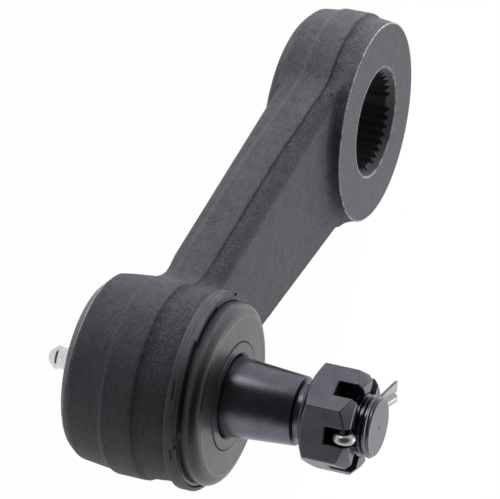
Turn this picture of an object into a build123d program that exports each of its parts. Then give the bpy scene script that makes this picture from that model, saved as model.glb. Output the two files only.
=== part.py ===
"""Pitman arm: a forged steering arm with a serrated boss at one end and a greaseable ball stud at the other.

The origin is the centre of the serrated bore on the boss's machined front face. +Z runs along the bore, to the side
that the ball stud stands out of, and +X runs from the bore to the stud. Lengths are in millimetres.
"""
from build123d import *
import os
from math import asin, atan2, cos, degrees, pi, radians, sin, sqrt, tan

# Forging
centre_distance = 138.0       # from the bore's axis to the stud's axis
boss_radius = 32.2            # at the parting plane
boss_rear_z = -27.0           # the boss's machined rear face
boss_rear_round = 8.0
socket_wall = 8.0             # at the parting plane, outside the cover's seat
socket_front_z = 0.9
socket_rear_z = -30.6
socket_rear_round = 3.6
parting_z = -13.0             # plane where the two halves of the die meet
draft = 6.0                   # degrees, both ways from the parting plane
beam_front_z = -3.6
beam_rear_z = -22.4
beam_root_width = 54.8        # the tapering beam's width, carried on to the bore's axis
beam_tip_width = 32.2         # and to the stud's axis
beam_front_round = 3.4
beam_rear_round = 4.5
boss_neck_round = 16.0        # plan fillet between the boss and the beam
socket_neck_round = 18.0
step_fillet = 2.6             # fillet from the beam's flats up to the boss and the socket
step_inset = 0.03             # how far inside the forging's outline that fillet ends
face_edge_break = 0.5         # chamfer round the machined faces

# Trimmed flash belt round the forging's edge
belt_proud = 0.2
belt_boss_z = (-16.0, -7.2)   # its lower and upper edge beside the boss
belt_socket_z = (-18.0, -8.8)
belt_boss_x = 20.0            # the belt runs level up to here, and slopes from here
belt_level_x = 62.0           # to here

# Serrated bore
serration_positions = 36
serration_blanks = 4          # wide teeth that let the arm go on in a few positions only
serration_turn = -9.0         # degrees, direction of one blank
serration_root_radius = 15.875
serration_tip_radius = 14.8
serration_tip_share = 0.1     # share of the pitch that a tooth's flat tip takes
bore_mouth_radius = 17.0
bore_lead_in = 2.6            # depth of the chamfer at the bore's mouth
bore_rear_lead_in = 1.0

# Ball joint inside the socket
ball_radius = 13.5
ball_centre_z = -12.0
ball_flat_radius = 5.0        # flat under the ball
ball_clearance = 0.1          # running clearance of the ball in its bearings
socket_bore_radius = 17.0
mouth_radius = 12.0           # narrowest ring of the socket's mouth
mouth_land = 0.8              # height of that ring
mouth_ball_gap = 0.9          # from the ball to the ring's upper edge
mouth_flare = 45.0            # degrees from the axis, the mouth's flare and the bearing's seat
seat_clearance = 0.05         # between pieces that sit still in the socket
bearing_band = 0.3            # reach of the upper bearing below the ball's centre
bearing_top_gap = 1.0         # from the bearing's upper rim to the mouth's ring
cup_top_gap = 0.9             # from the ball's centre down to the cup's rim
cup_floor = 1.7               # thickness under the ball
cup_side_clearance = 0.3
grease_hole_radius = 3.0

# Cover, spring and the socket's spun lip
cover_seat_radius = 20.0
cover_clearance = 0.1
cover_rim_z = (-31.0, -28.2)  # outer and inner face of the cover's rim
cover_wall = 2.6
cover_dome_z = -36.0          # outer face of the cover's dome
cover_dome_radius = 8.6
cover_dome_foot_radius = 13.4
lip_wall = 1.2                # outside the cover's seat
lip_hold = 2.2                # how far the lip is spun in over the cover's rim
lip_end_z = -32.1
lip_round = 1.0
spring_wire_radius = 1.15
spring_large_radius = 10.2
spring_small_radius = 6.0
spring_turns = 2.0
spring_end_gap = 0.15

# Grease fitting
fitting_thread_radius = 3.05
fitting_reach = 1.2           # how far its thread stands inside the cover's dome
fitting_hex_across = 7.0
fitting_hex_height = 4.0
fitting_waist_radius = 2.3
fitting_head_radius = 3.3
fitting_tip_radius = 1.9
fitting_head_round = 1.5
fitting_tip_z = -45.4
fitting_head_z = -43.0        # widest ring of the head
fitting_bore_radius = 1.3
fitting_mouth_radius = 0.8
fitting_mouth_length = 0.7
fitting_stop_z = -38.2        # shoulder that the check ball's spring stands on
fitting_feed_radius = 0.8
check_ball_radius = 1.2
check_ball_gap = 0.05
check_spring_wire_radius = 0.18
check_spring_radius = 0.9
check_spring_turns = 4.0

# Boot and its rings
ring_outer_radius = 28.3
ring_wall = 1.2
ring_web = 1.1                # thickness of the ring's foot
ring_height = 3.7
ring_clearance = 0.1
boot_clearance = 0.15
boot_bead_width = 2.3         # between the ring's wall and the spigot
spigot_wall = 1.9
spigot_height = 1.4
boot_wall = 2.2
boot_shoulder_inset = 1.05    # from the bead's outside in to the dome's shoulder
boot_shoulder_drop = 0.4      # how much the dome draws in between its foot and its shoulder
boot_shoulder_round = 3.2
boot_top_z = 10.2
boot_neck_depth = 4.4         # height of the boot's neck along the shank
boot_neck_radius = 13.6       # outside of the neck, inside the boot
boot_ring_recess_radius = 15.6
neck_ring_radius = 15.3
neck_ring_top_z = 10.5
neck_ring_height = 1.5
shank_clearance = 0.3

# Stud
neck_radius = 7.9
neck_top_z = 0.4
ball_neck_round = 1.4
shank_radius = 11.35
shank_start_z = 8.0
taper_start_z = 10.5
taper_end_z = 30.75
taper_end_radius = 9.8
relief_radius = 7.7
relief_end_z = 33.6
thread_radius = 8.35          # mean radius of the 11/16 in thread
stud_end_z = 53.2
stud_end_chamfer = 0.6
stud_centre_mark_radius = 0.7
stud_centre_mark_depth = 0.8
pin_hole_radius = 2.1
pin_z = 47.4
pin_turn = -17.0              # degrees, direction of the cotter pin's eye

# Castle nut
nut_across_flats = 27.0
nut_turn_past_pin = -1.6      # degrees that the nut's slots stand away from the pin
nut_base_z = 34.6
nut_top_z = 49.2
nut_base_face_radius = 12.8
nut_base_chamfer = 1.7        # height of the chamfer at a corner
nut_collar_radius = 10.0      # round collar under the nut
nut_collar_height = 1.6
nut_collar_edge = 0.5
nut_top_face_radius = 12.3
nut_top_chamfer = 3.2
nut_thread_clearance = 0.1
nut_bore_chamfer = 0.8
nut_slots = 6
nut_slot_width = 5.2
nut_slot_depth = 7.0

# Cotter pin, a bent half-round wire
wire_radius = 1.6
wire_gap = 0.05               # half of the gap between the two legs
eye_radius = 1.75             # inside of the eye
eye_root_round = 2.0
eye_root_inset = 0.15         # how far inside the thread's radius the legs part towards the eye
long_leg_r = 31.0
short_leg_r = 22.5
short_leg_bend_r = 11.6
short_leg_bend_round = 8.0
short_leg_angle = 9.0

socket_radius = cover_seat_radius + socket_wall
cover_radius = cover_seat_radius - cover_clearance
lip_outer_radius = cover_seat_radius + lip_wall
lip_inner_radius = cover_seat_radius - lip_hold
draft_slope = tan(radians(draft))
flare_slope = tan(radians(mouth_flare))
ring_edge_radius = ball_radius + mouth_ball_gap
mouth_top_z = ball_centre_z + sqrt(ring_edge_radius**2 - mouth_radius**2)
mouth_base_z = mouth_top_z - mouth_land
seat_radius = ball_radius + ball_clearance
cup_base_z = ball_centre_z - ball_radius - ball_clearance - cup_floor
bead_outer = ring_outer_radius - ring_wall - boot_clearance
bead_inner = bead_outer - boot_bead_width
spigot_outer_radius = bead_inner - boot_clearance
boot_shoulder_radius = bead_outer - boot_shoulder_inset
nut_bore_radius = thread_radius + nut_thread_clearance
eye_root_r = thread_radius - eye_root_inset
stud_axis = Axis((centre_distance, 0, 0), (0, 0, 1))
stud_half_plane = Plane(origin=(centre_distance, 0, 0), x_dir=(1, 0, 0), z_dir=(0, -1, 0))


def drafted(radius, z):
    """Radius at height z of a wall that has the given radius at the parting plane."""
    return radius - abs(z - parting_z) * draft_slope


def corner(sketch, radius, height):
    """The sketch's vertex nearest to a radius and a height."""
    return sketch.vertices().sort_by_distance((radius, height))[0]


def save(piece, name):
    """Labels a finished piece and writes it."""
    piece.part.label = name
    export_step(piece.part, f"parts/{name}.step")


os.makedirs("parts", exist_ok=True)

# Outline of the forging at the parting plane
with BuildSketch(Plane.XY.offset(parting_z)) as outline:
    Circle(boss_radius)
    with Locations((centre_distance, 0)):
        Circle(socket_radius)
    with BuildLine():
        Polyline(
            (0, beam_root_width / 2),
            (centre_distance, beam_tip_width / 2),
            (centre_distance, -beam_tip_width / 2),
            (0, -beam_root_width / 2),
            close=True,
        )
    make_face()
    corners = outline.vertices().filter_by(lambda v: abs(v.Y) > beam_tip_width / 4).sort_by(Axis.X)
    fillet(corners[:2], boss_neck_round)
    corners = outline.vertices().filter_by(lambda v: abs(v.Y) > beam_tip_width / 4).sort_by(Axis.X)
    fillet(corners[-2:], socket_neck_round)

with BuildPart() as beam:
    extrude(outline.sketch, amount=beam_front_z - parting_z, taper=draft)
    extrude(outline.sketch, amount=parting_z - beam_rear_z, taper=draft, dir=(0, 0, -1))
    flats = beam.faces().filter_by(Axis.Z)
    fillet(flats.sort_by(Axis.Z)[-1].outer_wire().edges(), beam_front_round)
    fillet(beam.faces().filter_by(Axis.Z).sort_by(Axis.Z)[0].outer_wire().edges(), beam_rear_round)

# The flash belt follows the outline, and steps up from the socket to the boss
with BuildPart() as belt:
    with BuildSketch(Plane.XY.offset(belt_socket_z[0])):
        add(outline.sketch.moved(Location((0, 0, -parting_z))))
        offset(amount=belt_proud)
    extrude(amount=belt_boss_z[1] - belt_socket_z[0])
    with BuildSketch(Plane.XZ):
        with BuildLine():
            far = centre_distance + 2 * socket_radius
            Polyline(
                (-2 * boss_radius, belt_boss_z[0]),
                (belt_boss_x, belt_boss_z[0]),
                (belt_level_x, belt_socket_z[0]),
                (far, belt_socket_z[0]),
                (far, belt_socket_z[1]),
                (belt_level_x, belt_socket_z[1]),
                (belt_boss_x, belt_boss_z[1]),
                (-2 * boss_radius, belt_boss_z[1]),
                close=True,
            )
        make_face()
    extrude(amount=2 * boss_radius, both=True, mode=Mode.INTERSECT)


# Half sections of the boss and of the socket, to be turned about their axes
with BuildSketch(Plane.XZ) as boss_half:
    with BuildLine():
        Polyline(
            (0, 0),
            (drafted(boss_radius, 0), 0),
            (boss_radius, parting_z),
            (drafted(boss_radius, boss_rear_z), boss_rear_z),
            (0, boss_rear_z),
            close=True,
        )
    make_face()
    chamfer(corner(boss_half, boss_radius, 0), face_edge_break)
    fillet(corner(boss_half, boss_radius, boss_rear_z), boss_rear_round)

with BuildSketch(stud_half_plane) as socket_half:
    with BuildLine():
        Polyline(
            (0, socket_front_z),
            (drafted(socket_radius, socket_front_z), socket_front_z),
            (socket_radius, parting_z),
            (drafted(socket_radius, socket_rear_z), socket_rear_z),
            (lip_outer_radius, socket_rear_z),
            (lip_outer_radius, lip_end_z),
            (0, lip_end_z),
            close=True,
        )
    make_face()
    chamfer(corner(socket_half, socket_radius, socket_front_z), face_edge_break)
    fillet(corner(socket_half, socket_radius, socket_rear_z), socket_rear_round)
    fillet(corner(socket_half, lip_outer_radius, lip_end_z), lip_round)

with BuildSketch(Plane.XY.offset(parting_z)) as step_outline:
    add(outline.sketch.moved(Location((0, 0, -parting_z))))
    offset(amount=-step_inset)


def step_round(half, axis_x, radius, flat_z, depth, side):
    """Metal that rounds the corner between a flat of the beam and the turned wall that stands on it."""
    wall = drafted(radius, flat_z)
    with BuildPart() as ring:
        with BuildSketch(Plane(origin=(axis_x, 0, 0), x_dir=(1, 0, 0), z_dir=(0, -1, 0))) as section:
            add(half.sketch_local)
            with Locations((wall, flat_z - side * depth / 2)):
                Rectangle(2 * step_fillet, depth)
            fillet(corner(section, wall, flat_z), step_fillet)
            with Locations((wall - step_fillet / 2, flat_z + side * (step_fillet - depth) / 2)):
                Rectangle(3 * step_fillet, step_fillet + depth, mode=Mode.INTERSECT)
        revolve(axis=Axis((axis_x, 0, 0), (0, 0, 1)))
        reach = abs(flat_z + side * step_fillet - parting_z)
        extrude(step_outline.sketch, amount=reach, taper=draft, dir=(0, 0, side), mode=Mode.INTERSECT)
    return ring.part


step_rounds = [
    step_round(boss_half, 0, boss_radius, beam_front_z, beam_front_round, 1),
    step_round(boss_half, 0, boss_radius, beam_rear_z, beam_rear_round, -1),
    step_round(socket_half, centre_distance, socket_radius, beam_front_z, beam_front_round, 1),
    step_round(socket_half, centre_distance, socket_radius, beam_rear_z, beam_rear_round, -1),
]

# Serration: V grooves from the teeth's tips to their root circle, left out where a blank stands
pitch = 360 / serration_positions
half_groove = pitch / 2 * (1 - serration_tip_share)
blank_step = serration_positions // serration_blanks
groove_turns = [
    serration_turn + pitch * i for i in range(serration_positions) if i % blank_step != 0
]


def polar(radius, turn):
    return (radius * cos(radians(turn)), radius * sin(radians(turn)))


with BuildSketch() as serration:
    with BuildLine():
        for turn, next_turn in zip(groove_turns, groove_turns[1:] + [groove_turns[0] + 360]):
            start, end = turn + half_groove, next_turn - half_groove
            Polyline(
                polar(serration_tip_radius, turn - half_groove),
                polar(serration_root_radius, turn),
                polar(serration_tip_radius, start),
            )
            ThreePointArc(
                polar(serration_tip_radius, start),
                polar(serration_tip_radius, (start + end) / 2),
                polar(serration_tip_radius, end),
            )
    make_face()

# The forging, machined
with BuildPart() as pitman_arm:
    add(beam.part)
    add(belt.part)
    for ring in step_rounds:
        add(ring)
    revolve(boss_half.sketch, axis=Axis.Z)
    revolve(socket_half.sketch, axis=stud_axis)
    # The socket is bored from the rear, and its mouth flares for the stud's swing
    with BuildSketch(stud_half_plane):
        with BuildLine():
            seat_reach = (socket_bore_radius - mouth_radius) / flare_slope
            Polyline(
                (0, socket_front_z),
                (mouth_radius + (socket_front_z - mouth_top_z) * flare_slope, socket_front_z),
                (mouth_radius, mouth_top_z),
                (mouth_radius, mouth_base_z),
                (socket_bore_radius, mouth_base_z - seat_reach),
                (socket_bore_radius, cover_rim_z[1]),
                (cover_seat_radius, cover_rim_z[1]),
                (cover_seat_radius, cover_rim_z[0]),
                (lip_inner_radius, cover_rim_z[0]),
                (lip_inner_radius, lip_end_z),
                (0, lip_end_z),
                close=True,
            )
        make_face()
    revolve(axis=stud_axis, mode=Mode.SUBTRACT)
    # A low spigot centres the boot's ring
    with BuildSketch(Plane.XY.offset(socket_front_z)):
        with Locations((centre_distance, 0)):
            Circle(spigot_outer_radius)
            Circle(spigot_outer_radius - spigot_wall, mode=Mode.SUBTRACT)
    extrude(amount=spigot_height)
    # Serrated bore with a lead-in at each end
    extrude(serration.sketch, amount=-boss_rear_z, dir=(0, 0, -1), mode=Mode.SUBTRACT)
    with Locations((0, 0, -bore_lead_in / 2)):
        Cone(serration_tip_radius, bore_mouth_radius, bore_lead_in, mode=Mode.SUBTRACT)
    with Locations((0, 0, boss_rear_z + bore_rear_lead_in / 2)):
        Cone(serration_root_radius, serration_tip_radius, bore_rear_lead_in, mode=Mode.SUBTRACT)
save(pitman_arm, "pitman_arm")


def on_ball(radius, height):
    """Radius and Z of a point on a sphere about the ball's centre, at a height above that centre."""
    return (sqrt(radius**2 - height**2), ball_centre_z + height)


# Fixed bearing ring between the ball and the mouth
with BuildPart() as upper_bearing:
    with BuildSketch(stud_half_plane):
        rim_z = mouth_base_z - bearing_top_gap
        rim_height = rim_z - ball_centre_z
        outer = socket_bore_radius - seat_clearance
        cone_top = mouth_radius + bearing_top_gap * flare_slope - 2 * seat_clearance
        with BuildLine():
            foot = on_ball(seat_radius, -bearing_band)
            ThreePointArc(
                on_ball(seat_radius, rim_height),
                on_ball(seat_radius, rim_height / 2),
                foot,
            )
            Polyline(
                foot,
                (outer, ball_centre_z - bearing_band),
                (outer, rim_z - (outer - cone_top) / flare_slope),
                (cone_top, rim_z),
                on_ball(seat_radius, rim_height),
            )
        make_face()
    revolve(axis=stud_axis)
save(upper_bearing, "upper_bearing")

# Sliding bearing cup under the ball
with BuildPart() as lower_bearing:
    with BuildSketch(stud_half_plane):
        hole_height = -sqrt(seat_radius**2 - grease_hole_radius**2)
        outer = socket_bore_radius - cup_side_clearance
        with BuildLine():
            ThreePointArc(
                on_ball(seat_radius, -cup_top_gap),
                on_ball(seat_radius, hole_height / 2),
                on_ball(seat_radius, hole_height),
            )
            Polyline(
                on_ball(seat_radius, hole_height),
                (grease_hole_radius, cup_base_z),
                (outer - cup_floor, cup_base_z),
                (outer, cup_base_z + cup_floor),
                (outer, ball_centre_z - cup_top_gap),
                on_ball(seat_radius, -cup_top_gap),
            )
        make_face()
    revolve(axis=stud_axis)
save(lower_bearing, "lower_bearing")

# Domed cover, with a threaded hole for the grease fitting
dome_rise = cover_rim_z[0] - cover_dome_z
dome_slope = (cover_dome_foot_radius - cover_dome_radius) / dome_rise
dome_wall = cover_wall * sqrt(1 + dome_slope**2)
dome_inner_z = cover_dome_z + cover_wall


def dome_inner(z):
    """Inside radius of the cover's dome at height z."""
    return cover_dome_radius + (z - cover_dome_z) * dome_slope - dome_wall


with BuildPart() as cover_plate:
    with BuildSketch(stud_half_plane):
        with BuildLine():
            Polyline(
                (fitting_thread_radius + seat_clearance, cover_dome_z),
                (cover_dome_radius, cover_dome_z),
                (cover_dome_foot_radius, cover_rim_z[0]),
                (cover_radius, cover_rim_z[0]),
                (cover_radius, cover_rim_z[1]),
                (dome_inner(cover_rim_z[1]), cover_rim_z[1]),
                (dome_inner(dome_inner_z), dome_inner_z),
                (fitting_thread_radius + seat_clearance, dome_inner_z),
                close=True,
            )
        make_face()
    revolve(axis=stud_axis)
save(cover_plate, "cover_plate")


def coil(low_z, high_z, low_radius, high_radius, turns, wire):
    """A coil spring's wire on the stud's axis, from its lower end to its upper."""
    low, high = low_z + wire, high_z - wire
    with BuildPart() as spring:
        with BuildLine() as path:
            Helix(
                pitch=(high - low) / turns,
                height=high - low,
                radius=low_radius,
                center=(centre_distance, 0, low),
                cone_angle=degrees(atan2(high_radius - low_radius, high - low)),
            )
        with BuildSketch(Plane(origin=path.line @ 0, z_dir=path.line % 0)):
            Circle(wire)
        sweep()
    return spring


preload_spring = coil(
    dome_inner_z + spring_end_gap,
    cup_base_z - spring_end_gap,
    spring_small_radius,
    spring_large_radius,
    spring_turns,
    spring_wire_radius,
)
save(preload_spring, "preload_spring")

# Grease fitting, screwed into the cover
with BuildPart() as grease_fitting:
    hex_end_z = cover_dome_z - fitting_hex_height
    head_rise = fitting_head_radius - fitting_waist_radius
    with BuildSketch(stud_half_plane) as fitting_half:
        with BuildLine():
            Polyline(
                (0, dome_inner_z + fitting_reach),
                (fitting_thread_radius, dome_inner_z + fitting_reach),
                (fitting_thread_radius, hex_end_z),
                (fitting_waist_radius, hex_end_z),
                (fitting_waist_radius, fitting_head_z + head_rise),
                (fitting_head_radius, fitting_head_z),
                (fitting_tip_radius, fitting_tip_z),
                (0, fitting_tip_z),
                close=True,
            )
        make_face()
        fillet(corner(fitting_half, fitting_head_radius, fitting_head_z), fitting_head_round)
    revolve(axis=stud_axis)
    with BuildSketch(Plane.XY.offset(hex_end_z)):
        with Locations((centre_distance, 0)):
            RegularPolygon(fitting_hex_across / 2, 6, major_radius=False)
    extrude(amount=fitting_hex_height)
    with BuildSketch(stud_half_plane):
        with BuildLine():
            Polyline(
                (0, fitting_tip_z),
                (fitting_mouth_radius, fitting_tip_z),
                (fitting_mouth_radius, fitting_tip_z + fitting_mouth_length),
                (fitting_bore_radius, fitting_tip_z + fitting_mouth_length),
                (fitting_bore_radius, fitting_stop_z),
                (fitting_feed_radius, fitting_stop_z),
                (fitting_feed_radius, dome_inner_z + fitting_reach),
                (0, dome_inner_z + fitting_reach),
                close=True,
            )
        make_face()
    revolve(axis=stud_axis, mode=Mode.SUBTRACT)
save(grease_fitting, "grease_fitting")

# Check ball behind the fitting's mouth, and its spring
seat_drop = sqrt(check_ball_radius**2 - fitting_mouth_radius**2)
check_ball_z = fitting_tip_z + fitting_mouth_length + seat_drop + check_ball_gap
with BuildPart() as check_ball:
    with Locations((centre_distance, 0, check_ball_z)):
        Sphere(check_ball_radius)
save(check_ball, "check_ball")

check_ball_spring = coil(
    check_ball_z + sqrt(check_ball_radius**2 - check_spring_radius**2) + check_ball_gap,
    fitting_stop_z - check_ball_gap,
    check_spring_radius,
    check_spring_radius,
    check_spring_turns,
    check_spring_wire_radius,
)
save(check_ball_spring, "check_ball_spring")

# Pressed ring round the boot's bead
ring_top_z = socket_front_z + ring_height
with BuildPart() as boot_retaining_ring:
    with BuildSketch(stud_half_plane) as ring_half:
        with BuildLine():
            Polyline(
                (spigot_outer_radius + ring_clearance, socket_front_z),
                (ring_outer_radius, socket_front_z),
                (ring_outer_radius, ring_top_z),
                (ring_outer_radius - ring_wall, ring_top_z),
                (ring_outer_radius - ring_wall, socket_front_z + ring_web),
                (spigot_outer_radius + ring_clearance, socket_front_z + ring_web),
                close=True,
            )
        make_face()
        fillet(corner(ring_half, ring_outer_radius, ring_top_z), ring_wall / 2.5)
        fillet(corner(ring_half, ring_outer_radius, socket_front_z), ring_wall / 2.5)
    revolve(axis=stud_axis)
save(boot_retaining_ring, "boot_retaining_ring")

# Boot: a bead in the ring, a low dome, and a neck that grips the shank
neck_ring_base_z = neck_ring_top_z - neck_ring_height
with BuildPart() as dust_boot:
    with BuildSketch(stud_half_plane) as boot_half:
        bead_base_z = socket_front_z + ring_web + boot_clearance
        lining = boot_shoulder_radius - boot_wall
        neck_inner = shank_radius + shank_clearance
        recess_z = neck_ring_base_z - boot_clearance
        neck_base_z = boot_top_z - boot_neck_depth
        lining_z = boot_top_z - boot_wall
        foot_z = ring_top_z + boot_shoulder_drop
        with BuildLine():
            Polyline(
                (bead_inner, bead_base_z),
                (bead_outer, bead_base_z),
                (bead_outer, ring_top_z),
                (boot_shoulder_radius + boot_shoulder_drop, foot_z),
                (boot_shoulder_radius, boot_top_z),
                (boot_ring_recess_radius, boot_top_z),
                (boot_ring_recess_radius, recess_z),
                (neck_inner, recess_z),
                (neck_inner, neck_base_z),
                (boot_neck_radius, neck_base_z),
                (boot_neck_radius + boot_neck_depth, lining_z),
                (lining, lining_z),
                (lining, bead_base_z + boot_wall / 2),
                (bead_inner, bead_base_z + boot_wall / 4),
                close=True,
            )
        make_face()
        fillet(corner(boot_half, boot_shoulder_radius, boot_top_z), boot_shoulder_round)
        fillet(corner(boot_half, lining, lining_z), boot_shoulder_round - boot_wall)
    revolve(axis=stud_axis)
save(dust_boot, "dust_boot")

# Slip ring in the boot's neck
with BuildPart() as boot_neck_ring:
    with BuildSketch(stud_half_plane) as neck_half:
        with BuildLine():
            Polyline(
                (shank_radius + shank_clearance, neck_ring_base_z),
                (neck_ring_radius, neck_ring_base_z),
                (neck_ring_radius, neck_ring_top_z),
                (shank_radius + shank_clearance + neck_ring_height / 2, neck_ring_top_z),
                (shank_radius + shank_clearance, neck_ring_base_z + neck_ring_height / 2),
                close=True,
            )
        make_face()
        fillet(corner(neck_half, neck_ring_radius, neck_ring_top_z), neck_ring_height / 4)
    revolve(axis=stud_axis)
save(boot_neck_ring, "boot_neck_ring")

# Ball stud
pin_plane = Plane(
    origin=(centre_distance, 0, pin_z),
    x_dir=(-sin(radians(pin_turn)), cos(radians(pin_turn)), 0),
    z_dir=(cos(radians(pin_turn)), sin(radians(pin_turn)), 0),
)
with BuildPart() as ball_stud:
    ball_base = on_ball(ball_radius, -sqrt(ball_radius**2 - ball_flat_radius**2))
    ball_top = on_ball(ball_radius, sqrt(ball_radius**2 - neck_radius**2))
    with BuildSketch(stud_half_plane) as stud_half:
        with BuildLine():
            ThreePointArc(ball_base, on_ball(ball_radius, 0), ball_top)
            Polyline(
                ball_top,
                (neck_radius, neck_top_z),
                (shank_radius, shank_start_z),
                (shank_radius, taper_start_z),
                (taper_end_radius, taper_end_z),
                (relief_radius, taper_end_z),
                (relief_radius, relief_end_z - thread_radius + relief_radius),
                (thread_radius, relief_end_z),
                (thread_radius, stud_end_z - stud_end_chamfer),
                (thread_radius - stud_end_chamfer, stud_end_z),
                (0, stud_end_z),
                (0, ball_base[1]),
                ball_base,
            )
        make_face()
        fillet(corner(stud_half, *ball_top), ball_neck_round)
    revolve(axis=stud_axis)
    with BuildSketch(pin_plane):
        Circle(pin_hole_radius)
    extrude(amount=shank_radius, both=True, mode=Mode.SUBTRACT)
    with Locations((centre_distance, 0, stud_end_z - stud_centre_mark_depth / 2)):
        Cone(0, stud_centre_mark_radius, stud_centre_mark_depth, mode=Mode.SUBTRACT)
save(ball_stud, "ball_stud")

# Castle nut, its slots over the stud's hole
nut_turn = pin_turn + nut_turn_past_pin
nut_collar_z = nut_base_z - nut_collar_height
with BuildPart() as castle_nut:
    with BuildSketch(Plane.XY.offset(nut_collar_z)):
        with Locations((centre_distance, 0)):
            RegularPolygon(nut_across_flats / 2, 6, major_radius=False, rotation=nut_turn + 30)
    extrude(amount=nut_top_z - nut_collar_z)
    nut_corner_radius = nut_across_flats / 2 / cos(pi / 6)
    with BuildSketch(stud_half_plane):
        with BuildLine():
            Polyline(
                (nut_bore_radius + nut_bore_chamfer, nut_collar_z),
                (nut_collar_radius - nut_collar_edge, nut_collar_z),
                (nut_collar_radius, nut_collar_z + nut_collar_edge),
                (nut_collar_radius, nut_base_z),
                (nut_base_face_radius, nut_base_z),
                (nut_corner_radius, nut_base_z + nut_base_chamfer),
                (nut_corner_radius, nut_top_z - nut_top_chamfer),
                (nut_top_face_radius, nut_top_z),
                (nut_bore_radius + nut_bore_chamfer, nut_top_z),
                (nut_bore_radius, nut_top_z - nut_bore_chamfer),
                (nut_bore_radius, nut_collar_z + nut_bore_chamfer),
                close=True,
            )
        make_face()
    revolve(axis=stud_axis, mode=Mode.INTERSECT)
    with BuildSketch(Plane.XY.offset(nut_top_z)):
        for i in range(nut_slots // 2):
            with Locations(Location((centre_distance, 0), nut_turn + 360 / nut_slots * i)):
                Rectangle(2 * nut_across_flats, nut_slot_width)
    extrude(amount=-nut_slot_depth, mode=Mode.SUBTRACT)
save(castle_nut, "castle_nut")

# Cotter pin: the wire's flat side runs along this path, its round side lies outside
eye_plane = Plane(
    origin=(centre_distance, 0, pin_z),
    x_dir=(cos(radians(pin_turn)), sin(radians(pin_turn)), 0),
    z_dir=(sin(radians(pin_turn)), -cos(radians(pin_turn)), 0),
)
root_centre_y = wire_gap + eye_root_round
eye_x = eye_root_r + sqrt((eye_root_round + eye_radius) ** 2 - root_centre_y**2)
root_share = eye_root_round / (eye_root_round + eye_radius)
eye_meet = (eye_root_r + (eye_x - eye_root_r) * root_share, root_centre_y * (1 - root_share))
root_turn = asin((eye_x - eye_root_r) / (eye_root_round + eye_radius)) / 2
root_mid = (
    eye_root_r + eye_root_round * sin(root_turn),
    root_centre_y - eye_root_round * cos(root_turn),
)
bend = radians(short_leg_angle)
bend_end = (
    -short_leg_bend_r - short_leg_bend_round * sin(bend),
    wire_gap + short_leg_bend_round * (1 - cos(bend)),
)
bend_mid = (
    -short_leg_bend_r - short_leg_bend_round * sin(bend / 2),
    wire_gap + short_leg_bend_round * (1 - cos(bend / 2)),
)
short_end = (-short_leg_r, bend_end[1] + (short_leg_r + bend_end[0]) * tan(bend))
with BuildPart() as cotter_pin:
    with BuildLine(eye_plane) as wire_path:
        Line((-long_leg_r, -wire_gap), (eye_root_r, -wire_gap))
        ThreePointArc((eye_root_r, -wire_gap), (root_mid[0], -root_mid[1]), (eye_meet[0], -eye_meet[1]))
        ThreePointArc((eye_meet[0], -eye_meet[1]), (eye_x + eye_radius, 0), eye_meet)
        ThreePointArc(eye_meet, root_mid, (eye_root_r, wire_gap))
        Line((eye_root_r, wire_gap), (-short_leg_bend_r, wire_gap))
        ThreePointArc((-short_leg_bend_r, wire_gap), bend_mid, bend_end)
        Line(bend_end, short_end)
    leg_tip = eye_plane.from_local_coords((-long_leg_r, -wire_gap, 0))
    with BuildSketch(Plane(origin=leg_tip, x_dir=pin_plane.x_dir, z_dir=pin_plane.z_dir)):
        with BuildLine():
            Line((-wire_radius, 0), (wire_radius, 0))
            ThreePointArc((wire_radius, 0), (0, -wire_radius), (-wire_radius, 0))
        make_face()
    sweep()
save(cotter_pin, "cotter_pin")
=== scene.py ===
# %% [markdown]
# This notebook dresses a pitman arm, the forged lever between a steering box and its linkage. The CAD
# model is loaded first and never moved: every Blender piece is built round it, in metres, in the same
# frame.

# %% Load the imported model
import bmesh
import bpy
import math
import numpy as np
from mathutils import Matrix, Vector, noise


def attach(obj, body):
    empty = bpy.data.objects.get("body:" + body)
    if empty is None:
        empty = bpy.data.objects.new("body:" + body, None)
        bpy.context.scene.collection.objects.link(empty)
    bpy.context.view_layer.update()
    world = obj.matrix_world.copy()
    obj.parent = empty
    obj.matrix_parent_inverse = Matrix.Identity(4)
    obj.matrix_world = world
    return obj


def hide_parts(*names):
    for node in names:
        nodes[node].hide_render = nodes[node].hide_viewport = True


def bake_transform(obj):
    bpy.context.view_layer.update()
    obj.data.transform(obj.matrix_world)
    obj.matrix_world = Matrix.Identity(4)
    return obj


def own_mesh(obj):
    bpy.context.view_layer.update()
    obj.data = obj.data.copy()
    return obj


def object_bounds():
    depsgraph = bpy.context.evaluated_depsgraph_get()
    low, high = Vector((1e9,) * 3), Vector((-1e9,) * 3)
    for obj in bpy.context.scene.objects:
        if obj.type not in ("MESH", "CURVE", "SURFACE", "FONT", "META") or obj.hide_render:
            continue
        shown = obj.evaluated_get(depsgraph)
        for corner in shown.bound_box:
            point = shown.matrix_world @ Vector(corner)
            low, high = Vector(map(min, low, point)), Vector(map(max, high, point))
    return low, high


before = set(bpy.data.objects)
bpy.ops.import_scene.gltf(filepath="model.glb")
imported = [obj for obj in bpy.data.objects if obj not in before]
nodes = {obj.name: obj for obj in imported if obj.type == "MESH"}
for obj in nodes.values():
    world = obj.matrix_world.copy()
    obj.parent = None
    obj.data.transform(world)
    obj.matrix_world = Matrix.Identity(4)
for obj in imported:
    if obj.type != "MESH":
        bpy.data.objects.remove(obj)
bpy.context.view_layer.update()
MM = 0.001
STUD_X = 138.0                # millimetres from the bore's axis to the stud's axis


def put_in_scene(name, data):
    """A new object that shows this data."""
    made = bpy.data.objects.new(name, data)
    bpy.context.scene.collection.objects.link(made)
    return made


print("nodes:", sorted(nodes))

# %% [markdown]
# The camera stands where the photographer's stood: in front of the stud and a little above the arm, with a
# long lens, and turned on its side so that the stud points to the right of the picture.

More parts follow.
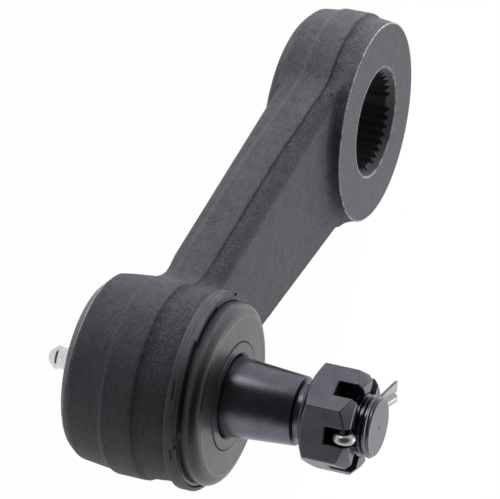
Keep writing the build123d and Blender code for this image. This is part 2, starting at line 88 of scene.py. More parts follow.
# %% Place the camera
PICTURE_RIGHT = Vector((-0.37938763, 0.04324415, 0.92422669))
PICTURE_DOWN = Vector((0.55972268, 0.80612018, 0.19204367))
LOOKING = Vector((-0.73673302, 0.59016963, -0.33003676))
CAMERA_PLACE = Vector((0.91940, -0.67806, 0.36764))

camera_data = bpy.data.cameras.new("camera")
camera_data.sensor_width = 36.0
camera_data.lens = 284.17
camera_data.clip_start = 0.05
camera_data.clip_end = 20.0
camera = put_in_scene("camera", camera_data)
axes = Matrix((PICTURE_RIGHT, -PICTURE_DOWN, -LOOKING)).transposed().to_4x4()
camera.matrix_world = Matrix.Translation(CAMERA_PLACE) @ axes
bpy.context.scene.camera = camera
bpy.context.scene.view_settings.view_transform = "Standard"
print("camera at", tuple(round(c, 3) for c in CAMERA_PLACE))

# %% [markdown]
# Shader maths reads best as plain sums. `Signal` wraps a socket, so that `1 - mask * 0.5` adds the Math
# nodes that it needs, and `Paint.node` makes every other node from its type, its settings and its inputs.


# %% A small class for shader sums
class Signal:
    """A shader socket that Python's operators work on."""

    def __init__(self, paint, socket):
        self.paint, self.socket = paint, socket

    def maths(self, operation, *values):
        return self.paint.node("Math", {"operation": operation}, dict(enumerate(values)))

    def __add__(self, other):
        return self.maths("ADD", self, other)

    def __sub__(self, other):
        return self.maths("SUBTRACT", self, other)

    def __rsub__(self, other):
        return self.maths("SUBTRACT", other, self)

    def __mul__(self, other):
        return self.maths("MULTIPLY", self, other)

    def __pow__(self, other):
        return self.maths("POWER", self, other)

    def __abs__(self):
        return self.maths("ABSOLUTE", self)

    __radd__ = __add__

    def ramp(self, low, high, start=0.0, end=1.0):
        """Runs smoothly from start to end while this signal goes from low to high."""
        return self.paint.node(
            "MapRange",
            {"interpolation_type": "SMOOTHSTEP"},
            {0: self, 1: low, 2: high, 3: start, 4: end},
        )


class Paint:
    """Builds the nodes of one material or of the world."""

    def __init__(self, owner):
        owner.use_nodes = True
        self.owner, self.tree = owner, owner.node_tree
        self.tree.nodes.clear()

    def node(self, kind, settings=None, inputs=None, out=0):
        made = self.tree.nodes.new("ShaderNode" + kind)
        for key, value in (settings or {}).items():
            setattr(made, key, value)
        for key, value in (inputs or {}).items():
            if isinstance(value, Signal):
                self.tree.links.new(value.socket, made.inputs[key])
            else:
                made.inputs[key].default_value = value
        return Signal(self, made.outputs[out])

    def output(self, signal, name):
        """Another output of the node that a signal comes from."""
        return Signal(self, signal.socket.node.outputs[name])

    def show(self, shader):
        """Sends a shader to the output of the material or of the world."""
        kind = "OutputWorld" if isinstance(self.owner, bpy.types.World) else "OutputMaterial"
        self.tree.links.new(shader.socket, self.tree.nodes.new("ShaderNode" + kind).inputs["Surface"])
        return self.owner

    def place(self):
        """A point's place on the object at rest, in metres."""
        return self.node("TexCoord", out="Object")

    def grain(self, scale, detail, roughness=0.5, vector=None):
        """Noise from 0 to 1 with features about 1/scale of a metre."""
        return self.node(
            "TexNoise",
            {"noise_dimensions": "3D"},
            {"Vector": vector or self.place(), "Scale": scale, "Detail": detail, "Roughness": roughness},
        )

    def rings(self, distance, scale, detail):
        """Noise that changes along one distance in millimetres only, as the marks of turning do."""
        inputs = {"W": distance, "Scale": scale, "Detail": detail}
        return self.node("TexNoise", {"noise_dimensions": "1D"}, inputs)

    def blend(self, share, low, high):
        """A colour between low and high."""
        return self.node("Mix", {"data_type": "RGBA"}, {0: share, 6: low, 7: high}, out=2)

    def bump(self, height, distance, strength):
        return self.node("Bump", {}, {"Strength": strength, "Distance": distance, "Height": height})

    def coordinates(self):
        """X, Y and Z of a point at rest, in millimetres."""
        parts = self.node("SeparateXYZ", {}, {0: self.place()})
        return [self.output(parts, axis) * 1000 for axis in "XYZ"]

    def axis_distance(self, centre_x):
        """Distance from the upright axis at centre_x, and the height, both in millimetres."""
        x, y, z = self.coordinates()
        return ((x - centre_x) * (x - centre_x) + y * y) ** 0.5, z

    def finish(self, **inputs):
        """Ends the material with one Principled shader."""
        named = {key.replace("_", " "): value for key, value in inputs.items()}
        return self.show(self.node("BsdfPrincipled", {}, named))


BLACK, WHITE = (0, 0, 0, 1), (1, 1, 1, 1)


def paint(name):
    return Paint(bpy.data.materials.new(name))


def grey(level, tint):
    """A linear colour, a little bluer where tint is above 0."""
    return (level, level * (1 - tint / 12), level * (1 + tint), 1.0)


def line_mask(distance, near, far):
    """1 on a line, and 0 beyond far from it."""
    return abs(distance).ramp(near, far, 1.0, 0.0)


print("shader tools:", Signal.__name__, Paint.__name__)

# %% [markdown]
# Two helpers make most of the shapes. `rounded` turns a drawn outline into points with soft corners, and
# `lathe` spins such an outline round an upright axis, as a lathe or a mould does.

# %% Outlines and turned shapes
ARC_STEPS = 4                 # straight pieces in a rounded corner
SHARP = 35.0                  # degrees between two faces from which their edge is a crease


def rounded(corners):
    """Points of a closed outline. A corner is (r, z) or (r, z, round), in millimetres."""
    points = []
    for i, corner in enumerate(corners):
        here = Vector(corner[:2])
        radius = corner[2] if len(corner) > 2 else 0
        if not radius:
            points.append(tuple(here))
            continue
        before = Vector(corners[i - 1][:2]) - here
        after = Vector(corners[(i + 1) % len(corners)][:2]) - here
        half = before.angle(after) / 2
        reach = min(radius / math.tan(half), 0.49 * before.length, 0.49 * after.length)
        radius = reach * math.tan(half)
        middle = here + (before.normalized() + after.normalized()).normalized() * radius / math.sin(half)
        start = here + before.normalized() * reach - middle
        end = here + after.normalized() * reach - middle
        turn = start.angle_signed(end)
        for step in range(ARC_STEPS + 1):
            angle = -turn * step / ARC_STEPS
            spoke = Vector((
                start.x * math.cos(angle) - start.y * math.sin(angle),
                start.x * math.sin(angle) + start.y * math.cos(angle),
            ))
            points.append(tuple(middle + spoke))
    return points


def turned_point(radius, angle, z, centre_x=STUD_X):
    """A point at an angle round the upright axis at centre_x. Takes millimetres and gives metres."""
    return (centre_x + radius * math.cos(angle)) * MM, radius * math.sin(angle) * MM, z * MM


def spin(bm, points, centre_x, steps, closed=True):
    """Adds the surface that points of (r, z) make when they turn about the upright axis at centre_x."""
    rings = []
    for r, z in points:
        count = 1 if abs(r) < 1e-6 else steps
        rings.append([bm.verts.new(turned_point(r, math.tau * i / steps, z, centre_x)) for i in range(count)])
    for low, high in zip(rings, rings[1:] + rings[:1] if closed else rings[1:]):
        if len(low) == 1 and len(high) == 1:
            continue
        for i in range(steps):
            j = (i + 1) % steps
            corners = [low[i % len(low)], low[j % len(low)], high[j % len(high)], high[i % len(high)]]
            bm.faces.new(dict.fromkeys(corners))
    return rings


def object_from(bm, name):
    """Ends the building of a mesh and shows it as a new object."""
    mesh = bpy.data.meshes.new(name)
    bm.to_mesh(mesh)
    bm.free()
    return put_in_scene(name, mesh)


def shade(bm, sharp):
    """Smooth faces, with creases where they meet at more than sharp degrees."""
    limit = math.radians(sharp)
    for face in bm.faces:
        face.smooth = True
    for edge in bm.edges:
        edge.smooth = len(edge.link_faces) == 2 and edge.calc_face_angle(0) < limit


def piece_from(bm, name, material, sharp=SHARP):
    """A clean, shaded object of one material."""
    bmesh.ops.remove_doubles(bm, verts=bm.verts, dist=2e-7)
    bmesh.ops.dissolve_degenerate(bm, edges=bm.edges, dist=1e-7)
    bmesh.ops.recalc_face_normals(bm, faces=bm.faces)
    shade(bm, sharp)
    made = object_from(bm, name)
    made.data.materials.append(material)
    return made


def lathe(name, corners, material, steps, centre_x=STUD_X):
    bm = bmesh.new()
    spin(bm, rounded(corners), centre_x, steps)
    return piece_from(bm, name, material)


def bar(name, radius, length, sides, place, material):
    """A straight bar with so many sides, along its own z axis before it is moved to its place."""
    bm = bmesh.new()
    bmesh.ops.create_cone(
        bm, cap_ends=True, segments=sides, radius1=radius * MM, radius2=radius * MM, depth=length * MM
    )
    bmesh.ops.transform(bm, verts=bm.verts, matrix=place)
    return piece_from(bm, name, material)


def on_stud(z, turn):
    """The place at height z on the stud's axis, turned about it."""
    return Matrix.Translation((STUD_X * MM, 0, z * MM)) @ Matrix.Rotation(turn, 4, "Z")


def apply_modifiers(piece):
    """Keeps the shape that the piece's modifiers give, and drops the modifiers."""
    shape = bpy.data.meshes.new_from_object(piece.evaluated_get(bpy.context.evaluated_depsgraph_get()))
    piece.modifiers.clear()
    piece.data = shape


def cut(piece, tool, operation="DIFFERENCE"):
    """Cuts the tool's solid out of the piece, or joins it on, and removes the tool."""
    step = piece.modifiers.new("cut", "BOOLEAN")
    step.operation, step.object, step.solver = operation, tool, "EXACT"
    step.material_mode = "TRANSFER"
    apply_modifiers(piece)
    bpy.data.objects.remove(tool)


def voxel_remesh(piece, voxel):
    """Rebuilds the piece's skin on cubes of voxel millimetres, which joins all that overlaps in it."""
    step = piece.modifiers.new("remesh", "REMESH")
    step.mode, step.voxel_size, step.adaptivity = "VOXEL", voxel * MM, 0.0
    apply_modifiers(piece)


def crease(mesh, sharp=SHARP):
    """Shades a mesh that is finished already."""
    bm = bmesh.new()
    bm.from_mesh(mesh)
    shade(bm, sharp)
    bm.to_mesh(mesh)
    bm.free()


def dress(piece, material):
    """Gives the piece this material in place of all that it has."""
    piece.data.materials.clear()
    piece.data.materials.append(material)


print("corners of a square with one soft corner:", len(rounded([(1, 0), (2, 0, 0.2), (2, 1), (1, 1)])))

# %% [markdown]
# First the finishes. The forging carries a thin black coat over scale: a fine grain of about half a
# millimetre, cloudy patches, and small pits. All of it depends on the point's own place, so it stays put
# when the part moves.

# %% The forging's coated skin
BELT_RISE_X = (20.0, 62.0)    # where the trimmed flash belt slopes up from the beam to the boss
BELT_BOSS_Z = (-16.0, -7.2)   # the belt's rear and front edge round the boss, in millimetres
BELT_BEAM_Z = (-18.0, -8.8)   # the same along the beam
BEAM_HALF_WIDTH, BEAM_TAPER = 26.4, 0.0819    # half the beam's width at x 0, and what it loses per millimetre


def forged_skin():
    coat = paint("forged_skin")
    grain = coat.grain(2000.0, detail=3.0, roughness=0.7)
    specks = coat.grain(3100.0, detail=1.0).ramp(0.58, 0.72)
    clouds = coat.grain(95.0, detail=4.0, roughness=0.6)
    patches = coat.grain(420.0, detail=2.0)
    pits = coat.grain(620.0, detail=1.0).ramp(0.70, 0.76)
    x, y, z = coat.coordinates()
    slope = coat.node("MapRange", {}, {0: x, 1: BELT_RISE_X[0], 2: BELT_RISE_X[1], 3: 0.0, 4: 1.0})
    waver = (coat.grain(260.0, detail=2.0) - 0.5) * 1.2
    front = z - (BELT_BOSS_Z[1] + slope * (BELT_BEAM_Z[1] - BELT_BOSS_Z[1])) - waver * 0.5
    rear = z - (BELT_BOSS_Z[0] + slope * (BELT_BEAM_Z[0] - BELT_BOSS_Z[0])) - waver * 0.5
    # painted shade: a dark wavering line along the flash belt's front edge, fainter on the boss and the
    # socket; the bump sinks it a little too
    shaded_groove = line_mask(front - 0.3, 0.05, 0.5) * x.ramp(100.0, 122.0, 1.0, 0.35)
    shaded_groove = shaded_groove * x.ramp(-5.0, 25.0, 0.5, 1.0)
    # painted shade: a darker strip with a torn boundary along the beam's sides, from the belt's front edge to
    # the front face's edge
    torn = (coat.grain(900.0, detail=3.0, roughness=0.7) - 0.5) * 2.2
    on_beam = x.ramp(12.0, 30.0) * x.ramp(106.0, 118.0, 1.0, 0.0)
    inward = BEAM_HALF_WIDTH - x * BEAM_TAPER - abs(y)
    edge = (inward + torn * 0.35).ramp(3.0, 3.5, 1.0, 0.0) * inward.ramp(-0.6, 1.8, 0.55, 1.0)
    edge = edge * front.ramp(0.0, 0.3) * on_beam
    socket = x.ramp(104.0, 112.0)
    # painted shade under the boot ring's overhang and on the socket's band in front of the belt; the whole
    # socket is also a little darker
    socket_shade = z.ramp(-2.2, 0.9) * socket * 0.16 + front.ramp(0.0, 0.4) * socket * 0.10
    shadow = (front - 0.2).ramp(0.0, 3.2, 1.0, 0.0) * front.ramp(-0.2, 0.2)
    # painted highlight: a light line along the belt's rear edge, weaker on the socket; the bump raises it a
    # little
    lit_ridge = line_mask(rear - 0.4, 0.05, 0.8)
    coarse = front.ramp(-0.6, 0.8, 1.7, 2.6)
    tone = 0.42 + (clouds - 0.5) * 0.5 + (patches - 0.5) * 0.5 + (grain - 0.5) * coarse
    tone = tone + specks * 0.3 - pits * 0.2 - shaded_groove * 0.45 - edge * 0.36
    tone = tone - shadow * (0.22 - on_beam * 0.2) + lit_ridge * (0.30 - socket * 0.14) - socket_shade - socket * 0.08
    colour = coat.blend(tone.ramp(-0.4, 1.3), grey(0.018, 0.26), grey(0.180, 0.17))
    height = grain * (coarse * 0.28) + clouds * 0.6 + patches * 0.3 - pits * 0.5 - shaded_groove * 0.5 + lit_ridge * 0.3
    return coat.finish(
        Base_Color=colour,
        Metallic=0.0,
        Roughness=0.60 + grain * 0.14 - clouds * 0.06,
        Normal=coat.bump(height, 0.0005, 1.0),
    )


FORGED = forged_skin()
print("finish:", FORGED.name)

# %% [markdown]
# The machined faces were cut after forging and coated with the rest, so they are smoother and show the
# rings that the tool left. The rings follow each face's own axis, and the edge of a face gets a painted
# highlight line, broken into patches.


# %% Machined faces under the coat
def machined_face(name, centre_x, low, high, highlight_rims=(), rim_heights=(-1.0, -0.3), rim_width=0.36):
    """A turned face. At each rim radius it gets a painted highlight line, between the two rim_heights."""
    coat = paint(name)
    radius, z = coat.axis_distance(centre_x)
    rings = coat.rings(radius, 4.0, 3.0)
    grain = coat.grain(1500.0, detail=3.0, roughness=0.7)
    clouds = coat.grain(260.0, detail=3.0)
    tone = 0.5 + (rings - 0.5) * 0.4 + (grain - 0.5) * 3.6 + (clouds - 0.5) * 1.3
    colour = coat.blend(tone.ramp(-0.1, 1.1), grey(low, 0.20), grey(high, 0.20))
    for rim_radius in highlight_rims:
        # painted highlight: a bright line round each rim radius, broken into patches
        rim_patches = coat.grain(330.0, detail=3.0, roughness=0.7).ramp(0.30, 0.58)
        rim = line_mask(radius - rim_radius, rim_width / 2, rim_width * 1.25) * z.ramp(*rim_heights) * rim_patches
        colour = coat.blend(rim, colour, grey(0.60, 0.02))
    return coat.finish(
        Base_Color=colour,
        Metallic=0.0,
        Roughness=0.50 + grain * 0.12,
        Normal=coat.bump(rings * 0.4 + grain * 0.6, 0.00012, 0.6),
    )


# painted highlight lines round the bore's mouth and the boss face's outer rim
BOSS_MACHINED = machined_face("boss_machined", 0.0, 0.078, 0.142, highlight_rims=(17.05, 30.6))
# painted highlight line on the socket's rear bevel; the pale tone of these faces is partly painted light on
# that bevel too
SOCKET_MACHINED = machined_face(
    "socket_machined", STUD_X, 0.20, 0.34, highlight_rims=(26.8,), rim_heights=(-27.8, -28.4), rim_width=0.8
)
# painted shade: the flared mouth and the broached bore are darker than the boss face, for the shade inside
# the bore
LEAD_IN = machined_face("lead_in", 0.0, 0.045, 0.085, highlight_rims=(17.05,))
BORE_SHADE = machined_face("bore_shade", 0.0, 0.018, 0.040)
print("finishes:", BOSS_MACHINED.name, SOCKET_MACHINED.name, LEAD_IN.name, BORE_SHADE.name)

# %% [markdown]
# The stud is ground and black oxided: dark, and glossy enough to show the studio. The nut has the same coat
# over a rougher surface. Zinc plate is bright and slightly grey. The boot is moulded rubber with a dull
# shine.


# %% Steel, zinc and rubber
def black_oxide(name, base, rough, lay):
    """Dark steel. The marks of turning show in its shine by the share lay."""
    coat = paint(name)
    radius, z = coat.axis_distance(STUD_X)
    turned = coat.rings(z + radius, 9.0, 2.0)
    clouds = coat.grain(260.0, detail=3.0)
    grain = coat.grain(2800.0, detail=2.0)
    mottle = (clouds + grain * 0.5).ramp(0.4, 1.1)
    return coat.finish(
        Base_Color=coat.blend(mottle, grey(base * 0.85, 0.18), grey(base * 1.15, 0.18)),
        Metallic=1.0,
        Roughness=rough + clouds * 0.04 + grain * 0.03,
        Normal=coat.bump(turned * lay + grain * 0.3, 0.00002, 0.5),
    )


def plain_metal(name, low, high, rough):
    coat = paint(name)
    grain = coat.grain(1500.0, detail=3.0, roughness=0.6)
    clouds = coat.grain(187.5, detail=2.0)
    colour = coat.blend((grain * 0.6 + clouds * 0.4).ramp(0.3, 0.7), grey(low, 0.02), grey(high, 0.02))
    return coat.finish(
        Base_Color=colour,
        Metallic=1.0,
        Roughness=rough + grain * 0.14,
        Normal=coat.bump(grain, 0.00006, 0.6),
    )


DUST = (0.126, 0.120, 0.118, 1.0)
# the boot rim's colour: rubbed rubber, partly a painted highlight
RUBBED_EDGE_AND_HIGHLIGHT = (0.23, 0.21, 0.18, 1.0)


def rubber(name, low, high, rough, dusty_radius=0.0):
    """Moulded rubber. With a dusty_radius: a dusty face, and a rubbed rim and shoulder bloom, partly painted
    highlight.
    """
    skin = paint(name)
    grain = skin.grain(2400.0, detail=2.0, roughness=0.6)
    clouds = skin.grain(180.0, detail=3.0)
    colour = skin.blend((grain * 0.5 + clouds * 0.5).ramp(0.3, 0.7), grey(low, 0.26), grey(high, 0.26))
    if dusty_radius:
        radius, z = skin.axis_distance(STUD_X)
        _, y, _ = skin.coordinates()
        smear = skin.grain(140.0, detail=4.0, roughness=0.65).ramp(0.3, 0.7, 0.35, 1.0)
        dust = radius.ramp(dusty_radius - 0.3, dusty_radius + 0.5, 1.0, 0.0) * z.ramp(9.6, 10.1)
        dust = dust * smear * y.ramp(-16.0, 18.0, 0.8, 1.25)
        # a lighter line on the disc's rim: a rubbed edge, partly a painted highlight
        edge = line_mask(radius - dusty_radius, 0.1, 0.5) * z.ramp(9.4, 9.9) * 0.6
        # painted highlight on the shoulder's -y side, laid on as a pale bloom
        bloom_and_highlight = y.ramp(-16.0, -23.5, 0.0, 0.6) * z.ramp(6.4, 8.4) * smear
        colour = skin.blend(bloom_and_highlight, colour, grey(0.15, 0.04))
        colour = skin.blend(dust * 0.7, colour, DUST)
        colour = skin.blend(edge, colour, RUBBED_EDGE_AND_HIGHLIGHT)
    return skin.finish(
        Base_Color=colour,
        Metallic=0.0,
        Roughness=rough + grain * 0.12 - clouds * 0.05,
        Normal=skin.bump(grain + clouds * 0.8, 0.00010, 0.6),
    )


def rolled_strip():
    """Black strip with rub marks that run along it, round the stud's axis."""
    coat = paint("rolled_strip")
    squeezed = coat.node("VectorMath", {"operation": "MULTIPLY"}, {0: coat.place(), 1: (90.0, 90.0, 2600.0)})
    streaks = coat.grain(1.0, detail=3.0, roughness=0.65, vector=squeezed)
    grain = coat.grain(2300.0, detail=2.0)
    rubbed = coat.grain(60.0, detail=2.0).ramp(0.4, 0.65)
    _, y, _ = coat.coordinates()
    # towards -y the strip is lighter and its streaks are stronger
    minus_y_side = y.ramp(-18.0, -27.0, 0.0, 1.0)
    tone = 0.42 + (streaks - 0.5) * (minus_y_side * 2.4 + 1.8) + (grain - 0.5) * 0.8
    tone = tone + rubbed * 0.3 + minus_y_side * 0.15
    colour = coat.blend(tone.ramp(0.0, 1.0), grey(0.036, 0.20), grey(0.125, 0.12))
    return coat.finish(
        Base_Color=colour,
        Metallic=0.0,
        Roughness=0.52 + streaks * 0.12,
        Normal=coat.bump(streaks * 0.6 + grain * 0.4, 0.00010, 0.7),
    )


def acetal():
    skin = paint("acetal")
    clouds = skin.grain(400.0, detail=2.0)
    colour = skin.blend(clouds.ramp(0.3, 0.7), (0.62, 0.60, 0.54, 1.0), (0.74, 0.72, 0.66, 1.0))
    return skin.finish(Base_Color=colour, Roughness=0.38 + clouds * 0.12)


STUD_BLACK = black_oxide("stud_black_oxide", 0.13, 0.23, lay=0.25)
NUT_BLACK = black_oxide("nut_black_oxide", 0.125, 0.34, lay=0.0)
RING_BLACK = rolled_strip()
ZINC = plain_metal("zinc_plate", 0.56, 0.70, 0.14)
PIN_ZINC = plain_metal("pin_zinc", 0.30, 0.44, 0.24)
SPRING = plain_metal("spring_steel", 0.28, 0.40, 0.28)
COVER = plain_metal("cover_steel", 0.22, 0.34, 0.34)
BOOT_RUBBER = rubber("boot_rubber", 0.030, 0.054, 0.27, dusty_radius=22.6)
NECK_RUBBER = rubber("neck_ring_rubber", 0.06, 0.09, 0.27)
ACETAL = acetal()
print("finishes:", len(bpy.data.materials))

# %% [markdown]
# The forging is the heart of the part. A die leaves soft edges and a slightly wavy skin, while the machined
# faces cut through it with crisp edges. So the making is followed: the CAD arm's mesh gets its bores filled
# and its machined faces stock, a voxel remesh and a smoothing turn it into a raw forging, and turned and
# milled cutters then machine it. The cutters carry the machined finish, and pass it on to the faces that
# they leave.
#
# Beside the photograph, the CAD arm is slim in two places: the socket's rear wall on one side, and the
# fillet between the beam and the socket. The raw forging gets a wider rear wall, set off centre, and a
# fuller fillet.

# %% The forging's sizes, in millimetres
BOSS_RADIUS, SOCKET_RADIUS, PARTING_Z = 32.2, 28.0, -13.0
DRAFT = math.tan(math.radians(6.0))
BOSS_REAR_Z, SOCKET_FRONT_Z = -27.0, 0.9
VOXEL = 0.68
SKIN_WAVE = 0.10
STOCK_STEPS = 96
REAR_WALL_OUT = 0.45          # how much wider the rear wall is and how far off centre, from the photo
REAR_WALL_WAY = (-0.57, -0.82, 0)             # the way that it is set off, towards the top of the picture
NECK_CORNER = (114.0, 18.0)   # x and y of the corner where the beam's side meets the socket
NECK_REACH, NECK_ROUNDS = 12.0, 110           # how far from that corner the fillet is filled, and how often


def drafted(radius, z):
    """Radius at height z of a wall that leans in both ways from the parting plane."""
    return radius - abs(z - PARTING_Z) * DRAFT


def drafted_wall(radius, *heights):
    return [(drafted(radius, z), z) for z in heights]


def filled_arm():
    """The CAD arm with filled bores, stock on the faces that are machined later, and a wider rear wall."""
    bm = bmesh.new()
    bm.from_mesh(nodes["pitman_arm"].data)
    bmesh.ops.remove_doubles(bm, verts=bm.verts, dist=1e-6)
    stock = {
        "bore plug": (0.0, [(0, -0.2), (17.6, -0.2), (17.6, -26.8), (0, -26.8)]),
        "front stock": (0.0, [(0, 2.0), *drafted_wall(BOSS_RADIUS, 2.0, -1.5), (0, -1.5)]),
        "rear stock": (0.0, [(0, -26), (22.4, -26), (22.4, -28.2), (0, -28.2)]),
        "socket plug": (STUD_X, [
            (0, 3.4), *drafted_wall(SOCKET_RADIUS, 3.4, -0.5), (20.6, -0.5), (20.6, -31.9), (0, -31.9),
        ]),
    }
    for centre_x, corners in stock.values():
        spin(bm, corners, centre_x, STOCK_STEPS)
    rear_wall = [(r + REAR_WALL_OUT, z) for r, z in drafted_wall(SOCKET_RADIUS, -17.6, -28.4)]
    shift = Vector(REAR_WALL_WAY) * REAR_WALL_OUT * MM
    for row in spin(bm, [(20.6, -17.6), *rear_wall, (24.6, -31.4), (20.6, -31.4)], STUD_X, STOCK_STEPS):
        for point in row:
            point.co += shift
    bmesh.ops.recalc_face_normals(bm, faces=bm.faces)
    return object_from(bm, "forging")


def mesh_arrays(mesh):
    points = np.empty(len(mesh.vertices) * 3)
    mesh.vertices.foreach_get("co", points)
    edges = np.empty(len(mesh.edges) * 2, dtype=int)
    mesh.edges.foreach_get("vertices", edges)
    return points.reshape(-1, 3), edges.reshape(-1, 2)


def move_points(mesh, points):
    mesh.vertices.foreach_set("co", points.ravel())
    mesh.update()


def relax(mesh, shares):
    """For each share in turn, moves every point by that share of the way to the middle of its neighbours."""
    points, edges = mesh_arrays(mesh)
    count = np.bincount(edges.ravel(), minlength=len(points))[:, None]
    for share in shares:
        total = np.zeros_like(points)
        np.add.at(total, edges[:, 0], points[edges[:, 1]])
        np.add.at(total, edges[:, 1], points[edges[:, 0]])
        points += share * (total / count - points)
    move_points(mesh, points)


def smooth_skin(mesh, rounds):
    """Takes the voxels' steps away without shrinking the solid: one pass in, one a little further out."""
    relax(mesh, (0.5, -0.53) * rounds)


def fill_neck(mesh):
    """Fills the inside corner between the beam and the socket, where the die leaves a generous fillet."""
    points, _ = mesh_arrays(mesh)
    away = np.hypot(points[:, 0] / MM - NECK_CORNER[0], abs(points[:, 1]) / MM - NECK_CORNER[1])
    near = (1 - away / NECK_REACH).clip(0, 1)[:, None]
    relax(mesh, [0.6 * near] * NECK_ROUNDS)


def wave_skin(mesh):
    """Sinks the skin by up to SKIN_WAVE here and there, as scale and the die leave it."""
    normals = np.empty(len(mesh.vertices) * 3)
    mesh.vertices.foreach_get("normal", normals)
    points, _ = mesh_arrays(mesh)
    depth = np.array([
        0.5 + 0.35 * noise.noise(Vector(p) * 150) + 0.3 * noise.noise(Vector(p) * 420) for p in points
    ])
    points -= normals.reshape(-1, 3) * (depth.clip(0, 1) * SKIN_WAVE * MM)[:, None]
    move_points(mesh, points)


forging = filled_arm()
voxel_remesh(forging, VOXEL)
smooth_skin(forging.data, rounds=9)
fill_neck(forging.data)
wave_skin(forging.data)
dress(forging, FORGED)
print("raw forging:", len(forging.data.vertices), "points")

# %% [markdown]
# Now the machining. The boss is faced at both ends and its rim is broken. The socket is faced round a low
# spigot that centres the boot's ring, flared at its mouth, bored from the rear and counterbored for the
# cover. Its rear rim is bevelled.

# %% Face and bore the forging
BEVEL = 55.4                  # radius less height, all along the 45 degree bevel of the socket's rear rim


def cutter(corners, centre_x, material):
    return lathe("cutter", corners, material, 160, centre_x)


rim = drafted(BOSS_RADIUS, 0) - 0.3
cut(forging, cutter([(0, 0), (rim, 0), (rim + 1, -1), (32.5, -1), (32.5, 6), (0, 6)], 0, BOSS_MACHINED))
cut(forging, cutter([(0, BOSS_REAR_Z), (26, BOSS_REAR_Z), (26, -33), (0, -33)], 0, BOSS_MACHINED))
rim = drafted(SOCKET_RADIUS, SOCKET_FRONT_Z) - 0.5
chamfer = [(30, SOCKET_FRONT_Z - 1.5), (rim + 1.5, SOCKET_FRONT_Z - 1.5), (rim, SOCKET_FRONT_Z)]
round_spigot = [(24.5, SOCKET_FRONT_Z), (24.5, 2.3), (22.6, 2.3), (22.6, SOCKET_FRONT_Z)]
flared_mouth = [(16.94, SOCKET_FRONT_Z), (12, -4.04), (12, -4.84), (17, -9.84)]
cover_seat = [(17, -28.2), (20, -28.2), (20, -31.0), (17.8, -31.0), (17.8, -35)]
socket_tool = [(0, 6), (30, 6), *chamfer, *round_spigot, *flared_mouth, *cover_seat, (0, -35)]
cut(forging, cutter(socket_tool, STUD_X, SOCKET_MACHINED))
cut(forging, cutter([
    (22.0, 22.0 - BEVEL), (27.4, 27.4 - BEVEL), (29, 27.4 - BEVEL), (29, -33), (22.0, -33),
], STUD_X, SOCKET_MACHINED))
print("machined forging:", len(forging.data.polygons), "faces")

# %% [markdown]
# The bore is broached: V grooves on 36 positions round the root circle, with four of them left out as wide
# teeth, so that the arm goes on the steering shaft in a few positions only. One prism with that outline is
# the broach, and two cones are the lead-ins.

# %% Broach the serrated bore
POSITIONS = 36
PITCH = math.tau / POSITIONS
BLANKS = (0, 9, 18, 27)
SERRATION_TURN = math.radians(-9.0)
TIP_RADIUS, ROOT_RADIUS, MOUTH_RADIUS = 14.8, 15.875, 17.0
ROOT_SIDE_RADIUS = ROOT_RADIUS - 0.06
HALF_GROOVE, HALF_ROOT = 0.45 * PITCH, 0.04 * PITCH


def lead_in(mouth_radius, face_z, depth, inward, material):
    """Cuts a cone that reaches the tooth tips at this depth. Inward is 1 up the axis or -1 down it."""
    lead = (mouth_radius - TIP_RADIUS) / depth
    outer_z, inner_z = face_z - inward * 0.5, face_z + inward * (depth + 1)
    corners = [(0, outer_z), (mouth_radius + lead / 2, outer_z), (TIP_RADIUS - lead, inner_z), (0, inner_z)]
    cut(forging, cutter(corners, 0, material))


outline = []
for i in range(POSITIONS):
    middle = SERRATION_TURN + PITCH * i
    if i in BLANKS:
        outline += [(TIP_RADIUS, middle + PITCH * step / 6) for step in (-2, 0, 2)]
    else:
        outline += [
            (TIP_RADIUS, middle - HALF_GROOVE), (ROOT_SIDE_RADIUS, middle - HALF_ROOT), (ROOT_RADIUS, middle),
            (ROOT_SIDE_RADIUS, middle + HALF_ROOT), (TIP_RADIUS, middle + HALF_GROOVE),
        ]
bm = bmesh.new()
rings = [[bm.verts.new(turned_point(r, a, z, 0)) for r, a in outline] for z in (-28.0, 1.0)]
bm.faces.new(reversed(rings[0]))
bm.faces.new(rings[1])
for i in range(len(outline)):
    j = (i + 1) % len(outline)
    bm.faces.new((rings[0][i], rings[0][j], rings[1][j], rings[1][i]))
cut(forging, piece_from(bm, "broach", BORE_SHADE))
lead_in(MOUTH_RADIUS, 0, 2.6, -1, LEAD_IN)
lead_in(ROOT_RADIUS, BOSS_REAR_Z, 1, 1, BORE_SHADE)
crease(forging.data, 38.0)
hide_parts("pitman_arm")
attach(forging, "arm")
print("forging:", len(forging.data.polygons), "faces")

# %% [markdown]
# The stud is a turned piece with a rolled thread. Its thread is a grid that climbs as it goes round: each
# row of points follows the helix, and five rows to a turn draw the crest, the root and the two flanks
# between them. Above and below the thread the rows are squeezed onto a plain ring, and the turned shapes
# join on there.

# %% The ball stud, sizes in millimetres
BALL_RADIUS, BALL_Z, BALL_FLAT_RADIUS = 13.5, -12.0, 5.0
NECK_RADIUS = 7.9
STUD_STEPS = 96
STUD_SHARP = 32.0
THREAD_PITCH = 25.4 / 18
CREST_RADIUS, THREAD_DEPTH = 8.73, 0.86
THREAD_LOW, STUD_END = 33.6, 53.2
THREAD_ROWS = ((0.0, 0), (0.12, 0), (0.42, 1), (0.56, 1), (0.70, 1))  # share of the pitch, 0 crest or 1 root
LOW_RING = CREST_RADIUS - THREAD_DEPTH - 0.1
END_RING = CREST_RADIUS - 0.75
RUN_OUT = 1.1                 # how steeply the thread grows out of the ring below it


